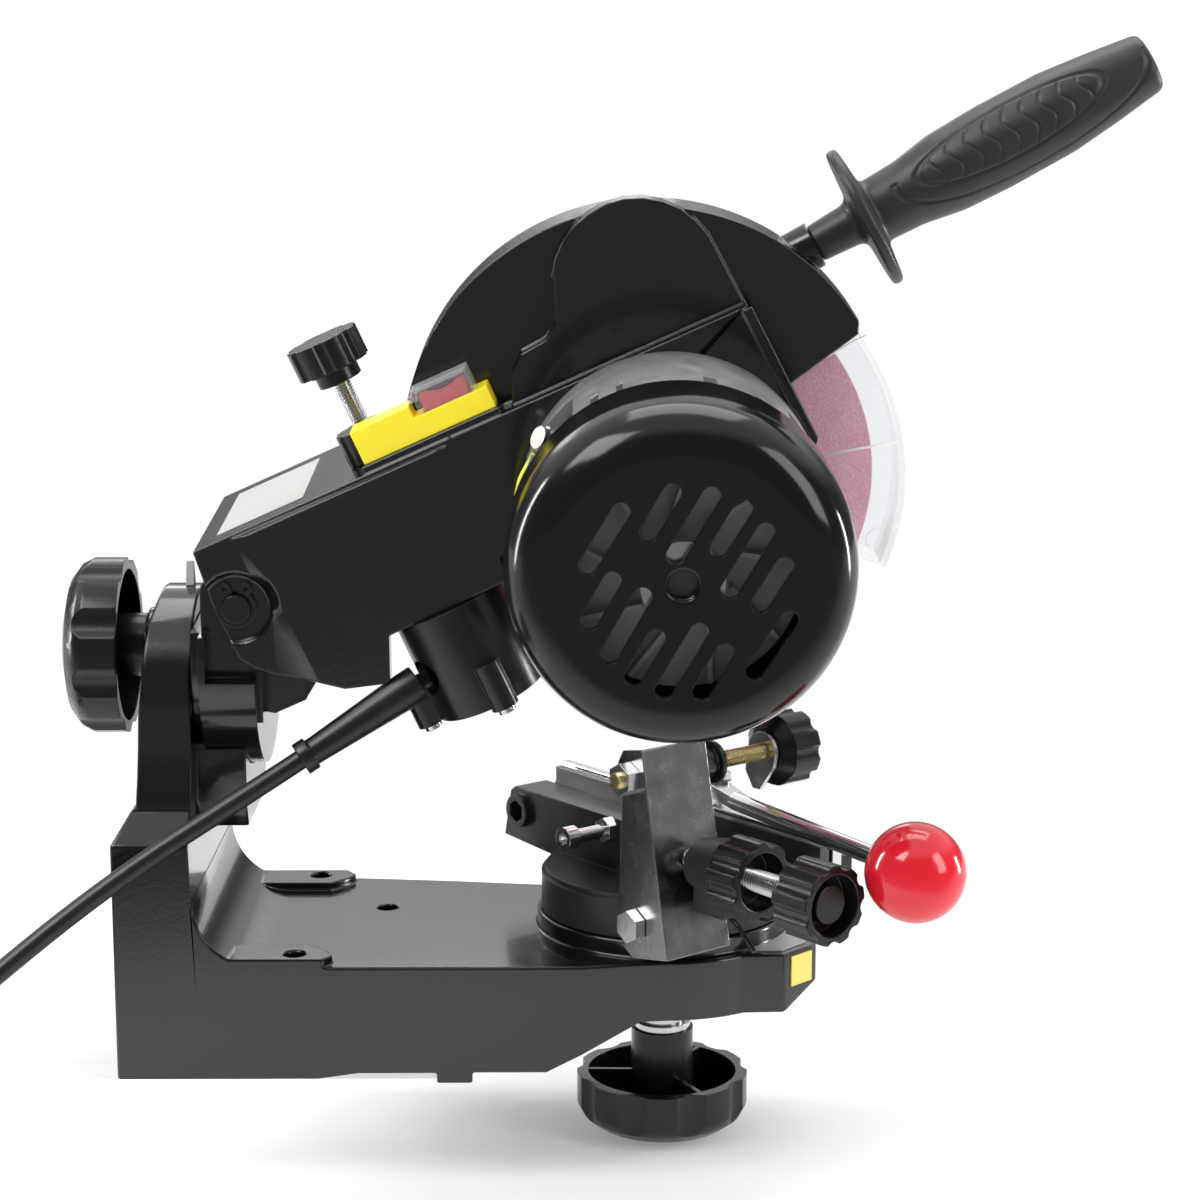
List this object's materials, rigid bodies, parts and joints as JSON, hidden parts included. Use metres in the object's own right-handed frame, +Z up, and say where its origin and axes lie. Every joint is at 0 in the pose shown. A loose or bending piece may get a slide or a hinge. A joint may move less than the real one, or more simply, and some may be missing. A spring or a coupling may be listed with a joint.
{
  "type": "chainsaw sharpener",
  "caption": "Bench-mounted electric chain sharpener: tilting, chopping motor head with guarded grinding wheel, turning chain vise with cam lever, depth and tooth stops.",
  "frame": {"origin": "on the underside of the base, midway between the two rear bench-bolt holes", "axes": "+X towards the operator and the vise, +Y away along the bench's edge to the wheel side, +Z up"},
  "size_m": [0.5462, 0.2248, 0.3964],
  "materials": {
    "black_enamel": "glossy black enamel on cast aluminium",
    "black_plastic": "satin black moulded plastic",
    "cap_gloss": "glossy black moulded plastic",
    "grip_plastic": "matte dark grey-black plastic",
    "cast_aluminium": "bright die-cast aluminium",
    "zinc_steel": "zinc-plated steel",
    "yellow_zinc": "yellow zinc-plated steel",
    "dark_steel": "blackened steel",
    "core_steel": "laminated steel and copper windings",
    "abrasive_pink": "coarse pink vitrified abrasive",
    "clear_plastic": "clear polycarbonate",
    "yellow_plastic": "yellow moulded plastic",
    "red_rocker": "red moulded plastic",
    "red_ball": "glossy red phenolic",
    "white_label": "white printed film",
    "yellow_label": "yellow film",
    "cord_rubber": "satin black rubber",
    "wire_sheath": "yellow and green sheath"
  },
  "bodies": {
    "base": {"base_casting": "black_enamel", "tilt_pointer": "white_label", "scale_plate": "white_label", "front_plate": "yellow_label", "cord": "cord_rubber", "cord_coil": "cord_rubber", "plug": "black_plastic"},
    "swivel": {"swivel_bracket": "black_enamel", "tilt_stud": "zinc_steel", "pivot_pin": "zinc_steel", "retaining_rings": "dark_steel", "return_spring": "dark_steel"},
    "tilt_knob": {"tilt_lock_knob": "black_plastic"},
    "head": {"head_casting": "black_enamel", "outer_guard": "black_enamel", "m4_screws": "zinc_steel", "clear_guard": "clear_plastic", "head_label": "white_label", "switch_housing": "yellow_plastic", "handle_stud": "zinc_steel", "handle_grip": "grip_plastic", "motor_front_bell": "cast_aluminium", "stator": "core_steel", "motor_rear_cap": "cap_gloss", "motor_bolts": "zinc_steel", "bearings": "zinc_steel", "terminal_box": "black_plastic", "box_screws": "zinc_steel", "earth_wire": "wire_sheath", "strain_relief": "black_plastic"},
    "rotor": {"rotor_shaft": "zinc_steel", "cooling_fan": "black_plastic", "wheel_flanges": "zinc_steel", "grinding_wheel": "abrasive_pink", "spindle_nut": "zinc_steel"},
    "rocker": {"switch_rocker": "red_rocker"},
    "cover": {"switch_cover": "clear_plastic"},
    "depth_stop": {"depth_screw": "zinc_steel"},
    "depth_turn": {"depth_knob": "black_plastic"},
    "depth_lock": {"depth_lock_nut": "black_plastic"},
    "vise": {"vise_body": "cast_aluminium", "rail_fixed": "zinc_steel", "vise_stud": "zinc_steel", "cam_bolt": "zinc_steel", "bracket_bolt": "zinc_steel", "jaw_screw": "dark_steel", "lock_washers": "zinc_steel", "stop_spring": "dark_steel"},
    "vise_knob": {"vise_lock_knob": "black_plastic"},
    "cam": {"cam_lever": "zinc_steel", "lever_ball": "red_ball"},
    "jaw": {"rail_moving": "zinc_steel"},
    "stop": {"stop_bracket": "zinc_steel", "pawl_bolt": "yellow_zinc", "pawl_spacer": "black_plastic"},
    "pawl_finger": {"pawl": "zinc_steel"},
    "pawl_nut": {"pawl_knob": "black_plastic"},
    "adjuster": {"adjust_screw": "zinc_steel"},
    "adjuster_turn": {"adjust_knob": "black_plastic"},
    "adjuster_lock": {"adjust_lock_knob": "black_plastic"}
  },
  "joints": [
    {"name": "head_tilt", "type": "hinge", "parent": "base", "child": "swivel", "pos_m": [-0.035, 0, 0.144], "axis": [1, 0, 0], "range_deg": [-40, 0], "deforming": ["cord"]},
    {"name": "head_chop", "type": "hinge", "parent": "swivel", "child": "head", "pos_m": [-0.018, -0.00218, 0.1689], "axis": [0, 0.9962, 0.0872], "range_deg": [0, 11], "stiffness_Nm_per_rad": 5, "springref_deg": -108.86, "deforming": ["cord"]},
    {"name": "tilt_lock", "type": "hinge", "parent": "swivel", "child": "tilt_knob", "pos_m": [-0.07, 0, 0.144], "axis": [1, 0, 0], "range_deg": [0, 90]},
    {"name": "spindle", "type": "hinge", "parent": "head", "child": "rotor", "pos_m": [0.1307, -0.00549, 0.20676], "axis": [0, 0.9962, 0.0872], "continuous": true},
    {"name": "rocker_press", "type": "hinge", "parent": "head", "child": "rocker", "pos_m": [0.0559, -0.04112, 0.23533], "axis": [0, 0.9962, 0.0872], "range_deg": [-6, 6]},
    {"name": "cover_flip", "type": "hinge", "parent": "head", "child": "cover", "pos_m": [0.04301, -0.04132, 0.23762], "axis": [0, 0.9962, 0.0872], "range_deg": [-75, 0]},
    {"name": "depth_travel", "type": "slide", "parent": "head", "child": "depth_stop", "axis": [-0.4115, -0.0794, 0.9079], "range_m": [-0.01, 0.004]},
    {"name": "depth_screw_turn", "type": "hinge", "parent": "depth_stop", "child": "depth_turn", "pos_m": [0.02944, -0.02128, 0.21516], "axis": [-0.4115, -0.0794, 0.9079], "range_deg": [-3600, 1440]},
    {"name": "depth_lock_turn", "type": "hinge", "parent": "head", "child": "depth_lock", "pos_m": [0.02944, -0.02128, 0.21516], "axis": [-0.4115, -0.0794, 0.9079], "range_deg": [0, 45]},
    {"name": "vise_swing", "type": "hinge", "parent": "base", "child": "vise", "pos_m": [0.13, 0, 0.046], "axis": [0, 0, 1], "range_deg": [-73.5, 0]},
    {"name": "vise_lock", "type": "hinge", "parent": "vise", "child": "vise_knob", "pos_m": [0.13, 0, -0.02], "axis": [0, 0, 1], "range_deg": [0, 90]},
    {"name": "lever_clamp", "type": "hinge", "parent": "vise", "child": "cam", "pos_m": [0.14975, -0.00346, 0.085], "axis": [0, 0, 1], "range_deg": [0, 60]},
    {"name": "jaw_slide", "type": "slide", "parent": "vise", "child": "jaw", "axis": [0.7826, 0.6225, 0], "range_m": [0, 0.0008]},
    {"name": "stop_lean", "type": "hinge", "parent": "vise", "child": "stop", "pos_m": [0.12671, -0.06012, 0.0595], "axis": [0.7826, 0.6225, 0], "range_deg": [-6.8, 0]},
    {"name": "pawl_swing", "type": "hinge", "parent": "stop", "child": "pawl_finger", "pos_m": [0.16449, -0.02601, 0.11043], "axis": [0.7826, 0.6225, 0], "range_deg": [0, 75]},
    {"name": "pawl_knob_turn", "type": "hinge", "parent": "stop", "child": "pawl_nut", "pos_m": [0.17012, -0.02153, 0.11043], "axis": [0.7826, 0.6225, 0], "range_deg": [0, 90]},
    {"name": "adjust_travel", "type": "slide", "parent": "vise", "child": "adjuster", "axis": [-0.6225, 0.7826, 0], "range_m": [0, 0.002]},
    {"name": "adjust_turn", "type": "hinge", "parent": "adjuster", "child": "adjuster_turn", "pos_m": [0.17591, -0.11554, 0.083], "axis": [0.6225, -0.7826, 0], "range_deg": [0, 576]},
    {"name": "adjust_lock", "type": "hinge", "parent": "vise", "child": "adjuster_lock", "pos_m": [0.15536, -0.08972, 0.083], "axis": [0.6225, -0.7826, 0], "range_deg": [0, 90]}
  ],
  "couplings": [
    {"joint": "depth_screw_turn", "follows": "depth_travel", "rad_per_m": 6283.2},
    {"joint": "jaw_slide", "follows": "lever_clamp", "m_per_rad": 0.00076394},
    {"joint": "adjust_turn", "follows": "adjust_travel", "rad_per_m": 5026.5},
    {"joint": "stop_lean", "follows": "adjust_travel", "rad_per_m": -58.5}
  ]
}
